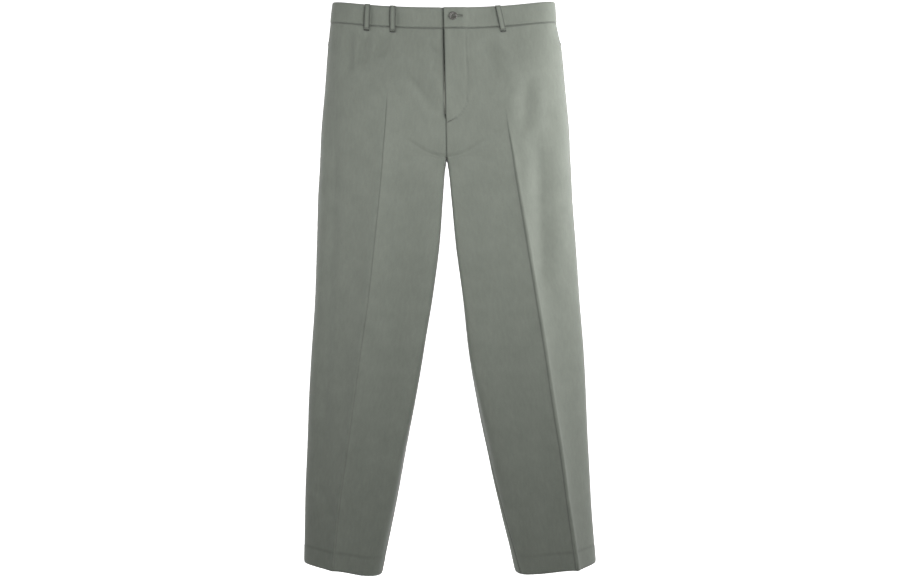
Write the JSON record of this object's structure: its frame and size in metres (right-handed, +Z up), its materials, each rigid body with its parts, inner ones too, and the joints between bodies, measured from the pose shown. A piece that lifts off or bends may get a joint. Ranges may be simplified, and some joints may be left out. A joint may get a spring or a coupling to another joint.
{
  "type": "suit trousers",
  "caption": "Men's flat-front suit trousers, filled out as when worn, with a lapped waistband, belt loops, a zip fly and pressed creases.",
  "frame": {"origin": "middle of the front of the waist opening at the height of its top edge, between front and back, where the wearer holds the trousers up", "axes": "+Z up along the body, -Y to the front, +X to the wearer's left"},
  "size_m": [0.5429, 0.2108, 1.0606],
  "materials": {
    "cloth": "fine worsted, grey-green",
    "pocketing": "plain pocketing",
    "zip_tape": "woven tape with a closed coil",
    "slider": "satin",
    "button": "satin, four holes"
  },
  "bodies": {
    "root": {"front_left": "cloth", "front_right": "cloth", "back_left": "cloth", "back_right": "cloth", "waistband_left": "cloth", "waistband_right": "cloth", "belt_loop_front_right_outer": "cloth", "belt_loop_front_right_inner": "cloth", "belt_loop_front_left": "cloth", "belt_loop_side_right": "cloth", "belt_loop_side_left": "cloth", "belt_loop_back_right": "cloth", "belt_loop_back_left": "cloth", "belt_loop_centre_back": "cloth", "pocket_bag_left": "pocketing", "pocket_bag_right": "pocketing", "fly_zip": "zip_tape", "fly_zip_slider": "slider", "waist_button": "button"}
  },
  "joints": []
}
